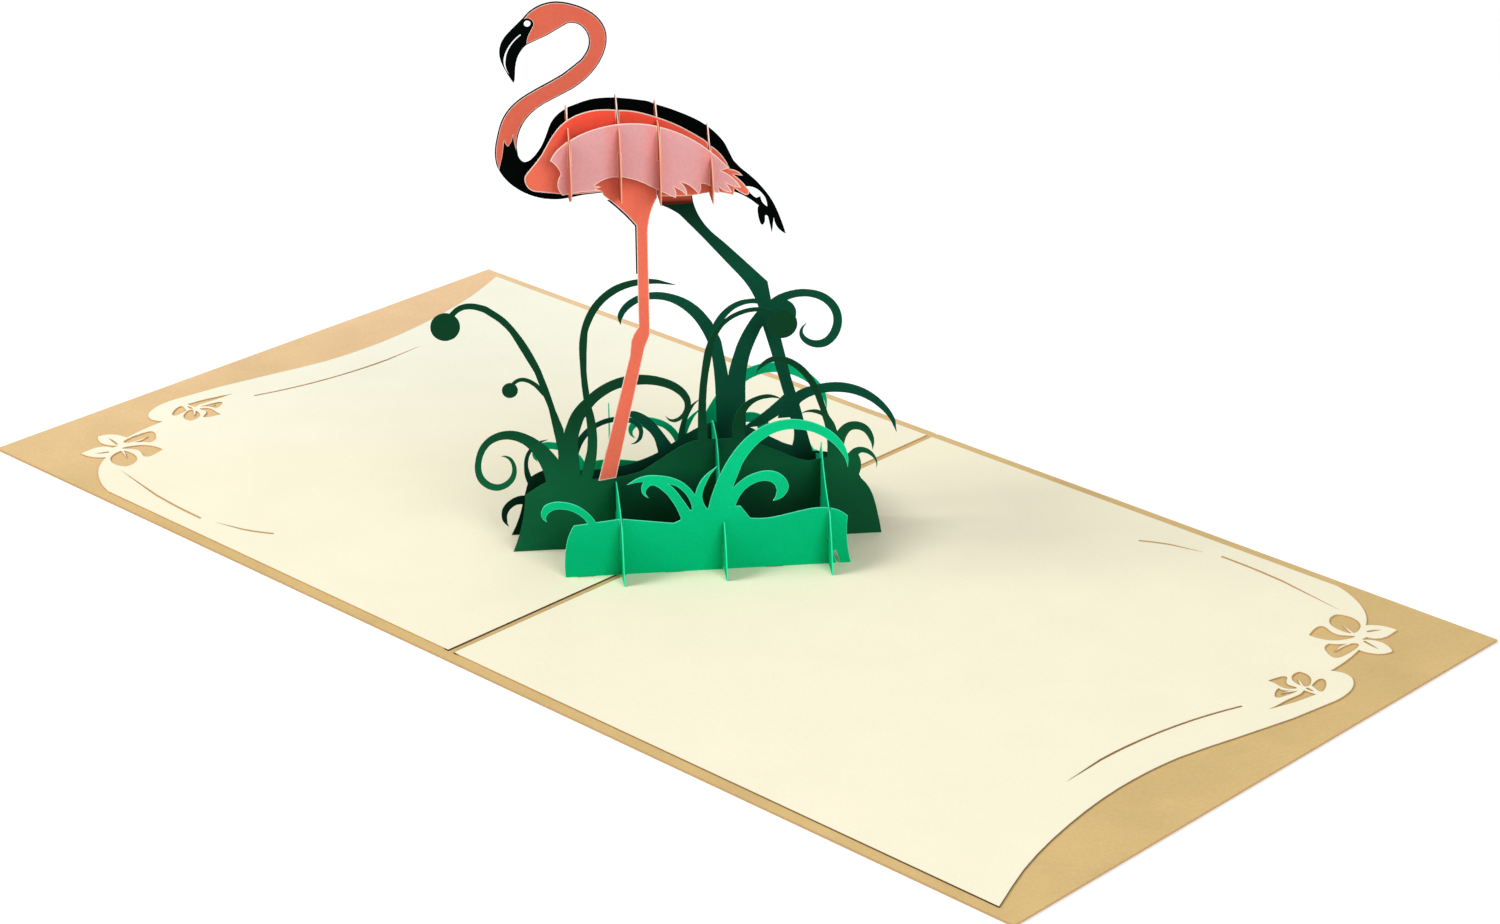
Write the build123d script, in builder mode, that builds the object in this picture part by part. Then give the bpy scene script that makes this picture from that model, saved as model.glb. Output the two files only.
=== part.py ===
from build123d import *
import math
import os

# Card sheets, in millimetres
half_width = 150.0
card_depth = 150.0
cover_thickness = 0.5
liner_thickness = 0.3
liner_margin = 2.5
liner_fold_gap = 1.6
crease_width = 1.2
crease_depth = 0.2

# The cut ornament of a liner is drawn from a point near the middle of the outer edge, this far in
# and this far along the edge, for a card of this depth, and scaled to the card
ornament_inset = 1.3
ornament_shift = 1.4
ornament_depth = 150.0
slit_width = 0.5
vein_width = 0.5

# Curves are cut in short straight steps, each turned by about this many degrees
facet_turn = 12.0

# Pop-up paper and its slots
paper = 0.25
patch_paper = 0.15
slot_clearance = 0.3
slot_end_gap = 0.1
patch_margin = 0.25

# The pop-up stands a little off the middle of the card, turned about the vertical so that its
# long sheets face the front corner
popup_x = -1.3
popup_y = 1.4
popup_turn = 50.0
slice_offset = 4.15
grass_offset = 17.8
wing_offset = 8.0
near_slice = -slice_offset - paper / 2
front_dark = near_slice + paper
far_slice = slice_offset - paper / 2
rear_dark = far_slice + paper

# Stations of the cross ribs along the long sheets
left_rib_station = -18.9
middle_rib_station = 2.5
right_rib_station = 24.6
rib_stations = (left_rib_station, middle_rib_station, right_rib_station)
grass_rib_reach = 23.8
breast_station = -26.9
shoulder_station = -16.8
hip_station = -8.8
tail_station = 1.8
body_stations = (breast_station, shoulder_station, hip_station, tail_station)
body_rib_reach = 11.6
body_rib_tip = 11.2
body_rib_foot = 4.6
eye_radius = 0.68

# Heights, from the underside of the cover; a meeting height is where the half-depth slots of a
# sheet and a rib meet, given rib by rib from the left
floor = cover_thickness + liner_thickness
grass_meetings = (6.5, 6.5, 6.5)
reed_meetings = (9.0, 12.5, 10.0)
body_meetings = (88.0, 90.5, 88.5, 85.8)
body_rib_bottom = 79.3

# The far sheets of the body hang lower than the near ones, so that the silhouette hides them, and
# the rear grass sheet is lower than the front one
far_slice_drop = 2.0
far_wing_drop = 2.5
rear_grass_drop = 2.2

# Short slanted cut in the foot of the front grass sheet
nick_x = 26.2
nick_y = 2.0
nick_width = 0.7
nick_length = 3.6
nick_turn = 16.0

# Tongues of the green sheets, by their stations along each sheet
tongue_length = 3.5
tongue_clearance = 0.2
front_grass_tongues = (-26.5, -8.0, 13.0)
rear_grass_tongues = (-8.0, 13.0, 27.2)
reed_tongues = (-30.0, 14.0)

along = Vector(math.cos(math.radians(popup_turn)), math.sin(math.radians(popup_turn)), 0)
back = Vector(-math.sin(math.radians(popup_turn)), math.cos(math.radians(popup_turn)), 0)
middle = Vector(popup_x, popup_y, 0)
slot_width = paper + slot_clearance


def sheet_plane(distance, drop=0):
    """Upright plane of a long sheet: x runs along it, y is up, z comes forward."""
    return Plane(origin=middle + back * distance - Vector(0, 0, drop), x_dir=along, z_dir=-back)


def rib_plane(station):
    """Upright plane of a cross rib: x runs to the back, y is up."""
    return Plane(origin=middle + along * station, x_dir=back, z_dir=along)


def cut_steps(curve, points):
    """Steps of the straight cuts along a curve, as (span, share of the span, curve position)."""
    knots = [0, *[curve.param_at_point(Vector(x, y)) for x, y in points[1:-1]], 1]
    steps = []
    for span, (first, last) in enumerate(zip(knots, knots[1:])):
        count = max(1, round((curve % first).get_angle(curve % last) / facet_turn))
        steps += [(span, k / count, first + (last - first) * k / count) for k in range(count)]
    return [*steps, (len(points) - 2, 1, 1)]


def smooth(*points):
    """Corners of the short straight cuts that follow a smooth curve through the points."""
    curve = Edge.make_spline([Vector(x, y) for x, y in points])
    return [curve @ place for span, share, place in cut_steps(curve, points)]


def outline(*runs, mode=Mode.ADD):
    """Closed face from runs of points: each run is a smooth curve, and runs meet in corners."""
    corners = []
    for run in runs:
        corners += smooth(*run)[:-1]
    with BuildLine() as edge:
        Polyline(*corners, close=True)
    make_face(edge.edges(), mode=mode)


def leaf(*stations, mode=Mode.ADD):
    """Curved blade through (x, y, width) stations, from its root to its tip."""
    points = [(x, y) for x, y, width in stations]
    curve = Edge.make_spline([Vector(x, y) for x, y in points])
    left, right = [], []
    for span, share, place in cut_steps(curve, points):
        width = stations[span][2] * (1 - share) + stations[span + 1][2] * share
        ahead = curve % place
        side = Vector(-ahead.Y, ahead.X) * (width / 2)
        left.append(curve @ place + side)
        right.append(curve @ place - side)
    if stations[-1][2] == 0:
        right.pop()
    with BuildLine() as edge:
        Polyline(*left, *reversed(right), close=True)
    make_face(edge.edges(), mode=mode)


def inset(*points):
    """Points of a curve moved to the right of its direction by the margin of a glued patch."""
    curve = Edge.make_spline([Vector(x, y) for x, y in points])
    moved = []
    for x, y in points:
        ahead = curve.tangent_at(Vector(x, y))
        moved.append((x + ahead.Y * patch_margin, y - ahead.X * patch_margin))
    return moved


def berry(x, y, radius):
    """Round fruit on the end of a stem."""
    with Locations((x, y)):
        RegularPolygon(radius, round(360 / facet_turn))


def slot_from_below(x, top):
    """Half-depth slot that opens at the lower edge of a sheet."""
    with Locations((x, top)):
        Rectangle(slot_width, 2 * top, align=(Align.CENTER, Align.MAX), mode=Mode.SUBTRACT)


def slot_from_above(sheet, x, bottom):
    """Half-depth slot that opens at the upper edge of a sheet, cut as far up as the sheet reaches."""
    top = sheet.sketch_local.bounding_box().max.Y
    with Locations((x, bottom)):
        Rectangle(slot_width, top - bottom, align=(Align.CENTER, Align.MIN), mode=Mode.SUBTRACT)


def opens_below(rib, layer):
    """Slots of a sheet open down at every other crossing, like a weave, and up at the rest.

    Ribs count from the left; layers count from the middle sheet, the near ones below zero.
    """
    return (rib + layer) % 2 == 1


def sheet_slots(sheet, layer, stations, meetings):
    """Half-depth slots of a long sheet for its ribs."""
    for rib, (station, meeting) in enumerate(zip(stations, meetings)):
        if opens_below(rib, layer):
            slot_from_below(station, meeting)
        else:
            slot_from_above(sheet, station, meeting)


def rib_slots(sheet, rib, crossings):
    """Half-depth slots of a rib, open on the side where those of the crossed sheets are closed."""
    for layer, distance, meeting in crossings:
        if opens_below(rib, layer):
            slot_from_above(sheet, distance, meeting - slot_end_gap)
        else:
            slot_from_below(distance, meeting + slot_end_gap)


def tongue(x, foot):
    """Tab under a green sheet's foot that passes through a slit of the liner to the cover."""
    with Locations((x, foot)):
        Rectangle(tongue_length, liner_thickness, align=(Align.CENTER, Align.MAX))


def nick():
    """Short slanted cut that opens at the foot of a sheet."""
    with Locations(Location((nick_x, nick_y), nick_turn)):
        Rectangle(nick_width, nick_length, mode=Mode.SUBTRACT)


def grass_sheet(layer, distance, drop, tongues):
    """Light green sheet with its low bank, curling blades and rib slots, lowered by a drop."""
    foot = floor + drop
    with BuildPart() as grass:
        with BuildSketch(sheet_plane(distance, drop)) as sheet:
            outline(
                ((-30.8, foot), (-30.7, 6.5)),
                ((-30.7, 6.5), (-30.0, 10.0), (-28.8, 12.6)),
                ((-28.8, 12.6), (-24.0, 13.1), (-18.9, 13.6)),
                ((-18.9, 13.6), (-8.0, 12.0)),
                ((-8.0, 12.0), (-6.6, 12.6)),
                ((-6.6, 12.6), (-5.0, 14.6), (-2.9, 15.0), (-0.6, 14.9), (4.8, 15.2)),
                ((4.8, 15.2), (6.0, 15.2)),
                ((6.0, 15.2), (8.0, 12.3)),
                ((8.0, 12.3), (15.0, 12.6), (20.5, 13.7), (25.0, 13.6), (28.5, 11.6)),
                ((28.5, 11.6), (28.4, 6.0), (29.2, foot)),
                ((29.2, foot), (-30.8, foot)),
            )
            for x in tongues:
                tongue(x, foot)
            sheet_slots(sheet, layer, rib_stations, [meeting + drop for meeting in grass_meetings])
            leaf((-24.6, 12.0, 1.6), (-27.0, 15.5, 1.5), (-30.8, 17.3, 1.6), (-34.2, 16.7, 1.8),
                 (-34.9, 15.4, 1.2), (-34.3, 13.8, 0))
            leaf((-2.9, 13.8, 2.2), (-4.3, 18.2, 1.5), (-6.9, 21.0, 1.4), (-10.4, 22.2, 1.5),
                 (-14.2, 22.4, 1.2), (-17.5, 21.3, 0))
            leaf((-5.2, 13.4, 2.6), (-7.4, 17.6, 2.0), (-10.2, 20.9, 1.9), (-12.6, 21.8, 1.8),
                 (-13.9, 20.6, 1.3), (-13.1, 18.1, 0))
            leaf((-1.9, 14.2, 2.4), (-2.7, 18.0, 1.5), (-1.6, 21.2, 1.2), (1.3, 24.5, 0))
            leaf((1.2, 13.5, 4.6), (2.3, 19.0, 3.6), (5.2, 25.6, 3.0), (9.4, 30.6, 2.6),
                 (14.6, 33.0, 2.3), (19.8, 32.7, 2.1), (24.4, 30.4, 1.9), (27.4, 27.0, 1.4), (28.5, 22.7, 0))
            leaf((3.4, 15.2, 3.0), (6.2, 19.6, 2.1), (9.8, 21.6, 2.1), (13.2, 21.3, 2.5),
                 (14.8, 19.0, 2.7), (14.2, 17.2, 1.6), (12.8, 16.0, 0))
            if layer < 0:
                nick()
        extrude(amount=paper / 2, both=True)
    return grass


def front_bank():
    """Bank of the dark sheet in front."""
    outline(
        ((-41.0, floor), (-39.5, 5.1), (-38.1, 13.8)),
        ((-38.1, 13.8), (-35.7, 15.4), (-33.2, 16.8)),
        ((-33.2, 16.8), (-23.9, 16.7), (-18.4, 16.9), (-12.9, 18.3), (-5.9, 22.8), (-1.4, 24.5)),
        ((-1.4, 24.5), (5.6, 24.5)),
        ((5.6, 24.5), (10.6, 23.3), (16.1, 20.8), (22.1, 18.4), (27.1, 19.2), (32.4, 19.6)),
        ((32.4, 19.6), (33.1, 17.5), (32.5, 14.2)),
        ((32.5, 14.2), (34.8, 11.6), (36.5, 6.6), (37.6, floor)),
        ((37.6, floor), (-41.0, floor)),
    )


def front_reeds():
    """Reeds of the dark sheet in front."""
    leaf((-29.7, 14.6, 2.0), (-30.3, 24.6, 1.5), (-31.9, 33.2, 1.3), (-34.6, 41.9, 1.4),
         (-39.1, 50.5, 1.4), (-44.6, 56.0, 1.4), (-48.9, 57.1, 1.2), (-52.2, 54.8, 1.1))
    berry(-53.3, 52.8, 3.05)
    leaf((-29.3, 17.6, 1.6), (-30.1, 28.4, 1.0), (-32.1, 34.2, 0.9), (-34.9, 38.6, 0.9),
         (-37.9, 40.2, 0.8), (-40.2, 38.8, 0.7))
    berry(-40.5, 37.9, 1.65)
    leaf((-30.2, 15.6, 6.0), (-33.9, 22.8, 3.4), (-37.5, 26.5, 2.3), (-41.5, 27.8, 1.9),
         (-45.3, 26.5, 1.5), (-47.6, 22.2, 1.3), (-46.9, 17.6, 1.5), (-43.8, 15.9, 1.4),
         (-40.9, 17.5, 1.2), (-40.2, 20.4, 0.9), (-41.2, 22.5, 0.6), (-42.8, 23.0, 0))
    leaf((-28.5, 15.6, 4.6), (-28.4, 24.6, 3.3), (-26.7, 31.0, 2.9), (-23.3, 35.2, 2.3),
         (-19.1, 37.9, 2.2), (-14.1, 38.9, 2.2), (-9.1, 38.2, 1.9), (-5.1, 36.0, 1.7), (-3.5, 33.2, 1.4),
         (-4.3, 30.5, 0.9), (-6.3, 29.2, 0.7), (-8.2, 30.4, 0))
    leaf((-25.7, 14.6, 2.6), (-23.8, 23.1, 2.1), (-23.7, 28.6, 1.9), (-24.5, 34.2, 1.4),
         (-25.1, 41.6, 1.3), (-24.8, 49.6, 1.5), (-22.3, 55.6, 1.6), (-18.1, 59.3, 1.6), (-13.3, 60.7, 1.3),
         (-9.1, 60.6, 0.8), (-5.5, 59.7, 0))
    leaf((-0.3, 21.6, 2.4), (-0.5, 30.6, 1.7), (0.2, 39.6, 1.5), (1.5, 46.2, 1.4), (4.2, 50.7, 0.9),
         (7.9, 52.9, 0.9), (11.7, 53.4, 0.9), (15.1, 51.9, 0.9))
    berry(16.5, 49.9, 3.15)
    leaf((7.4, 22.1, 3.0), (7.1, 27.6, 2.3), (8.3, 31.2, 1.6), (10.7, 33.1, 1.0), (13.5, 33.7, 0.8),
         (16.4, 32.8, 0))
    leaf((27.9, 17.6, 4.0), (28.7, 23.6, 2.4), (30.8, 25.9, 1.9), (33.5, 25.5, 1.6), (35.3, 23.0, 1.1),
         (35.6, 20.2, 0))
    leaf((31.1, 18.4, 2.4), (33.3, 20.3, 1.2), (35.3, 19.3, 0.8), (36.4, 16.0, 0))
    leaf((27.5, 17.6, 3.2), (26.3, 26.1, 1.6), (24.9, 30.8, 1.3), (23.3, 35.2, 1.4), (20.9, 39.0, 1.4),
         (17.9, 41.4, 1.3), (14.7, 42.1, 1.2), (12.3, 40.9, 0.8), (10.9, 39.0, 0))
    leaf((28.5, 20.1, 1.6), (27.5, 25.0, 1.0), (26.0, 28.2, 0.9), (23.5, 29.7, 0.8), (20.4, 29.4, 0))


def rear_bank():
    """Bank of the dark sheet behind."""
    outline(
        ((-41.0, floor), (-39.2, 5.0), (-37.9, 10.0), (-36.9, 13.8)),
        ((-36.9, 13.8), (-32.0, 15.8), (-24.0, 15.0), (-16.0, 15.9), (-9.0, 18.4), (-3.0, 22.4), (2.6, 24.8)),
        ((2.6, 24.8), (6.6, 24.7)),
        ((6.6, 24.7), (11.0, 22.8), (17.0, 19.4), (23.0, 17.0), (29.0, 15.6), (33.0, 12.0), (35.6, 7.0),
         (37.0, floor)),
        ((37.0, floor), (-41.0, floor)),
    )


def rear_reeds():
    """Reeds of the dark sheet behind, with the bird's second leg."""
    outline(
        ((-7.4, 78.0), (-7.4, 74.2)),
        ((-7.4, 74.2), (-3.6, 71.8), (0.8, 66.9), (5.8, 61.0), (10.4, 55.2), (12.0, 52.0), (12.8, 48.0)),
        ((12.8, 48.0), (15.8, 46.5)),
        ((15.8, 46.5), (15.3, 51.0), (14.4, 56.2)),
        ((14.4, 56.2), (10.9, 59.8), (5.8, 65.0), (1.8, 69.0), (-0.2, 72.4), (-1.0, 75.0), (-1.2, 78.0)),
        ((-1.2, 78.0), (-7.4, 78.0)),
    )
    leaf((21.6, 14.0, 6.0), (21.3, 20.6, 3.0), (19.9, 27.0, 2.6), (18.0, 34.0, 2.5), (16.1, 41.6, 2.8),
         (14.4, 48.2, 3.2), (13.9, 52.0, 3.0))
    leaf((6.9, 20.0, 5.4), (7.2, 29.0, 4.6), (7.9, 36.0, 3.7), (9.2, 41.2, 3.3), (11.3, 45.8, 3.0),
         (13.7, 49.4, 2.6), (16.4, 51.8, 2.0), (19.6, 53.1, 1.7), (23.0, 53.2, 1.6), (26.4, 51.9, 1.7),
         (28.9, 48.6, 1.8), (28.8, 44.6, 1.9), (26.4, 41.8, 1.8), (23.4, 41.9, 1.4), (21.6, 43.6, 1.0),
         (22.6, 46.4, 0))
    leaf((5.4, 20.0, 4.0), (4.9, 30.0, 3.4), (4.3, 36.5, 2.8), (3.3, 42.4, 2.7), (1.4, 47.0, 2.7),
         (-2.0, 51.2, 2.3), (-6.4, 53.7, 1.7), (-11.2, 54.1, 1.5), (-15.0, 52.3, 1.5), (-16.6, 50.0, 1.2),
         (-16.5, 48.0, 0))
    leaf((2.3, 43.5, 1.8), (4.2, 48.0, 1.5), (7.2, 51.0, 1.2), (11.0, 52.0, 1.0), (15.0, 50.8, 1.2))
    berry(17.3, 48.9, 3.1)
    leaf((-27.2, 12.5, 2.0), (-27.0, 18.4, 1.4), (-25.2, 22.8, 1.4), (-22.2, 25.4, 1.1), (-18.6, 26.5, 1.1),
         (-15.2, 26.2, 1.0), (-13.0, 24.3, 1.0), (-13.1, 21.9, 0.8), (-15.0, 20.6, 0))
    leaf((-7.2, 17.0, 4.0), (-9.2, 22.4, 2.2), (-11.6, 25.5, 2.2), (-14.3, 27.4, 1.6), (-17.3, 27.2, 0))
    leaf((-4.4, 19.5, 1.8), (-3.8, 24.6, 1.1), (-2.4, 28.0, 0.8), (-0.3, 30.2, 0))
    leaf((-36.3, 12.5, 1.6), (-37.4, 16.6, 0.9), (-36.8, 19.6, 0.8), (-34.8, 21.8, 0.6), (-32.6, 22.6, 0))
    leaf((-37.4, 8.7, 2.2), (-40.4, 8.4, 1.6), (-42.2, 6.4, 1.4), (-42.3, 4.4, 1.0), (-41.5, 2.8, 0))
    leaf((18.6, 25.0, 4.4), (20.4, 29.3, 2.6), (24.2, 31.0, 2.1), (29.4, 31.4, 2.2), (34.5, 29.9, 1.9),
         (39.0, 26.3, 1.4), (41.2, 22.9, 0.9), (41.9, 20.2, 0))
    leaf((18.9, 29.6, 2.6), (15.4, 26.4, 2.6), (12.0, 24.2, 1.9), (8.8, 23.0, 0))


def reed_sheet(layer, distance, bank, reeds):
    """Dark green sheet with its tongues, rib slots and reeds."""
    with BuildPart() as dark:
        with BuildSketch(sheet_plane(distance)) as sheet:
            bank()
            for x in reed_tongues:
                tongue(x, floor)
            sheet_slots(sheet, layer, rib_stations, reed_meetings)
            reeds()
        extrude(amount=paper / 2, both=True)
    return dark


def grass_rib(rib, *profile):
    """Light green cross rib: profile is its upper edge from front to back."""
    crossings = (
        (-2, -grass_offset, grass_meetings[rib]), (-1, front_dark, reed_meetings[rib]),
        (1, rear_dark, reed_meetings[rib]), (2, grass_offset, grass_meetings[rib]),
    )
    with BuildPart() as cross:
        with BuildSketch(rib_plane(rib_stations[rib])) as sheet:
            outline(*profile, ((grass_rib_reach, floor), (-grass_rib_reach, floor)))
            rib_slots(sheet, rib, crossings)
        extrude(amount=paper / 2, both=True)
    return cross


def neck_edges():
    """Right edge, left edge and jaw of the neck, shared by the silhouette and the coral patches on it."""
    right = (
        (-35.0, 117.0), (-32.6, 119.1), (-29.0, 120.2), (-24.5, 119.4), (-20.5, 117.1), (-18.4, 113.6),
        (-18.8, 109.4), (-21.4, 105.1), (-25.6, 101.7), (-31.2, 98.9), (-35.2, 95.5), (-36.9, 91.5),
    )
    left = (
        (-41.3, 86.0), (-41.6, 89.0), (-41.0, 92.4), (-39.7, 96.2), (-36.8, 99.6), (-32.6, 102.2),
        (-27.5, 104.9), (-23.8, 107.7), (-22.0, 110.7), (-22.1, 113.0), (-23.6, 115.1), (-26.3, 115.5),
    )
    jaw = ((-26.3, 115.5), (-30.2, 113.3), (-34.3, 111.5))
    return right, left, jaw


def head_and_neck():
    """Beak, head and neck of the silhouette, down to the root of the neck."""
    right, left, jaw = neck_edges()
    outline(
        ((-37.3, 103.5), (-38.9, 106.3), (-39.95, 109.6), (-39.6, 111.8), (-37.5, 114.6), (-35.0, 117.0)),
        (*right, (-36.9, 88.0)),
        ((-36.9, 88.0), (-41.3, 86.0)),
        left,
        jaw,
        ((-34.3, 111.5), (-35.6, 110.2), (-36.7, 107.6), (-37.0, 104.6), (-37.3, 103.5)),
    )


def body_and_tail():
    """Chest, back and tail feathers of the silhouette, up to the root of the neck."""
    outline(
        ((-36.9, 88.0), (-35.4, 86.5), (-33.5, 87.8), (-31.3, 91.5), (-29.7, 95.2), (-26.4, 97.9),
         (-22.0, 99.3), (-17.0, 99.5), (-11.0, 98.6), (-4.5, 96.1), (1.5, 92.8), (5.4, 88.6), (7.1, 84.9)),
        ((7.1, 84.9), (11.8, 80.2), (14.9, 76.0), (16.8, 71.6), (17.8, 68.4)),
        ((17.8, 68.4), (16.3, 69.6), (15.3, 72.2)),
        ((15.3, 72.2), (14.9, 68.7)),
        ((14.9, 68.7), (14.1, 72.4)),
        ((14.1, 72.4), (13.6, 72.7), (13.4, 71.2), (12.9, 70.6), (12.4, 71.3), (12.7, 74.4)),
        ((12.7, 74.4), (11.6, 75.4), (7.0, 78.2), (0.0, 79.0), (-10.0, 79.3), (-19.0, 79.3)),
        ((-19.0, 79.3), (-24.0, 78.9), (-28.5, 78.2), (-32.5, 78.6), (-36.5, 80.3), (-39.6, 83.0),
         (-41.3, 86.0)),
        ((-41.3, 86.0), (-36.9, 88.0)),
    )


def bird_outline():
    """Black silhouette with the eye, the beak line and the gap between the tail feathers."""
    with BuildPart() as bird:
        with BuildSketch(sheet_plane(0)) as sheet:
            body_and_tail()
            sheet_slots(sheet, 0, body_stations, body_meetings)
            head_and_neck()
            with Locations((-34.15, 115.85)):
                RegularPolygon(eye_radius, round(360 / facet_turn), mode=Mode.SUBTRACT)
            leaf((-35.5, 113.6, 0.3), (-37.8, 111.3, 0.3), (-38.95, 108.3, 0.4), (-37.8, 105.0, 0),
                 mode=Mode.SUBTRACT)
            outline(
                ((9.6, 79.2), (12.0, 78.4), (13.5, 76.6), (14.0, 74.5)),
                ((14.0, 74.5), (13.2, 75.2), (12.6, 76.8)),
                ((12.6, 76.8), (11.7, 76.5)),
                ((11.7, 76.5), (10.6, 77.5), (9.6, 79.2)),
                mode=Mode.SUBTRACT,
            )
        extrude(amount=paper / 2, both=True)
    return bird


def neck_patch(side):
    """Coral patch on one face of the neck, with a feathered lower edge, side is -1 near, 1 far."""
    right, left, under = [inset(*edge) for edge in neck_edges()]
    with BuildPart() as patch:
        with BuildSketch(sheet_plane(side * (paper + patch_paper) / 2)):
            outline(
                right,
                (right[-1], (-37.2, 89.1)),
                ((-37.2, 89.1), (-37.6, 90.6), (-37.9, 93.4)),
                ((-37.9, 93.4), (-38.2, 91.1), (-38.9, 90.1)),
                ((-38.9, 90.1), (-39.2, 90.4), (-39.6, 91.6)),
                ((-39.6, 91.6), (-40.1, 88.2), (-40.9, 85.0)),
                ((-40.9, 85.0), left[0]),
                left,
                (left[-1], under[0]),
                under,
                (under[-1], (-34.1, 113.2), (-33.3, 114.8), (-32.9, 115.9), (-33.6, 116.9), right[0]),
            )
        extrude(amount=patch_paper / 2, both=True)
    return patch


def slice_back(drop):
    """Runs of a coral body slice along chest, back and tail feathers, lowered by a drop."""
    runs = (
        ((-33.6, 81.6), (-35.7, 83.2), (-35.9, 84.6), (-34.8, 86.3), (-32.4, 89.3), (-30.4, 92.8),
         (-28.2, 95.6), (-25.4, 97.4), (-22.4, 98.3), (-19.0, 98.5), (-14.0, 98.0), (-9.0, 96.5),
         (-4.0, 94.2), (0.4, 91.4), (4.0, 88.0), (5.9, 84.6)),
        ((5.9, 84.6), (7.4, 84.1), (8.5, 83.1)),
        ((8.5, 83.1), (6.4, 83.5)),
        ((6.4, 83.5), (8.4, 81.7), (9.8, 79.8)),
        ((9.8, 79.8), (9.7, 79.1), (9.0, 78.9)),
        ((9.0, 78.9), (7.9, 79.6), (6.8, 80.5)),
        ((6.8, 80.5), (6.6, 78.9)),
        ((6.6, 78.9), (3.0, 79.8)),
    )
    return [[(x, y - drop) for x, y in run] for run in runs]


def near_body_slice():
    """Coral slice in front, cut in one piece with the standing leg."""
    with BuildPart() as body:
        with BuildSketch(sheet_plane(near_slice)) as sheet:
            outline(
                *slice_back(0),
                ((3.0, 79.8), (-2.0, 79.3), (-8.9, 79.5)),
                ((-8.9, 79.5), (-10.0, 77.2), (-10.9, 73.8), (-11.15, 70.5)),
                ((-11.15, 70.5), (-11.1, 49.7)),
                ((-11.1, 49.7), (-12.3, 46.0)),
                ((-12.3, 46.0), (-18.9, 16.9)),
                ((-18.9, 16.9), (-22.6, 16.4)),
                ((-22.6, 16.4), (-15.4, 44.6)),
                ((-15.4, 44.6), (-15.1, 47.7)),
                ((-15.1, 47.7), (-13.45, 50.9)),
                ((-13.45, 50.9), (-13.4, 73.3)),
                ((-13.4, 73.3), (-15.6, 76.0), (-20.0, 80.1)),
                ((-20.0, 80.1), (-20.4, 81.0)),
                ((-20.4, 81.0), (-27.0, 80.6), (-33.6, 81.6)),
            )
            sheet_slots(sheet, -1, body_stations, body_meetings)
        extrude(amount=paper / 2, both=True)
    return body


def far_body_slice():
    """Coral slice behind, with the short thigh that the green leg is glued to."""
    with BuildPart() as body:
        with BuildSketch(sheet_plane(far_slice)) as sheet:
            outline(
                *slice_back(far_slice_drop),
                ((3.0, 79.8 - far_slice_drop), (-1.9, 79.3)),
                ((-1.9, 79.3), (-1.2, 74.6)),
                ((-1.2, 74.6), (-7.7, 74.4)),
                ((-7.7, 74.4), (-8.0, 79.5)),
                ((-8.0, 79.5), (-14.0, 80.3), (-20.4, 81.0)),
                ((-20.4, 81.0), (-27.0, 80.6), (-33.6, 81.6 - far_slice_drop)),
            )
            sheet_slots(sheet, 1, body_stations, body_meetings)
        extrude(amount=paper / 2, both=True)
    return body


def leg_backing():
    """Black layer behind the standing leg, a little wider than the coral."""
    with BuildPart() as backing:
        with BuildSketch(sheet_plane(near_slice + (paper + patch_paper) / 2)):
            outline(
                ((-13.7, 62.6), (-13.7, 73.1)),
                ((-13.7, 73.1), (-15.9, 75.7), (-19.3, 79.0)),
                ((-19.3, 79.0), (-10.4, 79.0)),
                ((-10.4, 79.0), (-11.4, 73.8), (-11.6, 70.0), (-11.6, 62.6)),
                ((-11.6, 62.6), (-13.7, 62.6)),
            )
        extrude(amount=patch_paper / 2, both=True)
    return backing


def wing(layer, distance, drop):
    """Pink wing with a smooth top and cut feathers along its lower edge and tip, lowered by a drop."""
    with BuildPart() as feathers:
        with BuildSketch(sheet_plane(distance, drop)) as sheet:
            outline(
                ((-30.8, 89.4), (-29.6, 91.3), (-27.4, 93.2), (-24.0, 94.9), (-19.5, 96.2), (-14.0, 96.6),
                 (-9.0, 95.8), (-4.0, 93.8), (0.6, 90.8), (3.6, 88.1), (5.3, 86.2)),
                ((5.3, 86.2), (3.6, 85.8)),
                ((3.6, 85.8), (6.0, 84.2), (7.8, 81.9)),
                ((7.8, 81.9), (5.6, 82.5), (3.8, 84.0)),
                ((3.8, 84.0), (4.9, 82.7), (5.9, 81.0)),
                ((5.9, 81.0), (4.3, 81.4), (3.0, 82.6)),
                ((3.0, 82.6), (3.3, 81.8), (3.3, 80.9)),
                ((3.3, 80.9), (2.4, 81.1)),
                ((2.4, 81.1), (1.6, 82.4), (-0.5, 83.2)),
                ((-0.5, 83.2), (-0.4, 82.0), (-0.9, 80.9)),
                ((-0.9, 80.9), (-2.2, 82.4), (-4.8, 83.8)),
                ((-4.8, 83.8), (-3.6, 82.4), (-3.2, 80.6)),
                ((-3.2, 80.6), (-4.4, 81.8), (-6.2, 82.9)),
                ((-6.2, 82.9), (-5.5, 81.7), (-5.6, 80.3)),
                ((-5.6, 80.3), (-9.0, 82.1), (-13.5, 84.5), (-18.6, 85.3), (-21.2, 84.3)),
                ((-21.2, 84.3), (-22.1, 83.7)),
                ((-22.1, 83.7), (-20.7, 83.4)),
                ((-20.7, 83.4), (-22.0, 83.0)),
                ((-22.0, 83.0), (-20.7, 82.6)),
                ((-20.7, 82.6), (-24.5, 82.5), (-28.5, 81.9)),
                ((-28.5, 81.9), (-29.4, 83.6), (-28.7, 86.4)),
                ((-28.7, 86.4), (-29.4, 88.0), (-30.8, 89.4)),
            )
            sheet_slots(sheet, layer, body_stations, [meeting + drop for meeting in body_meetings])
        extrude(amount=paper / 2, both=True)
    return feathers


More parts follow.
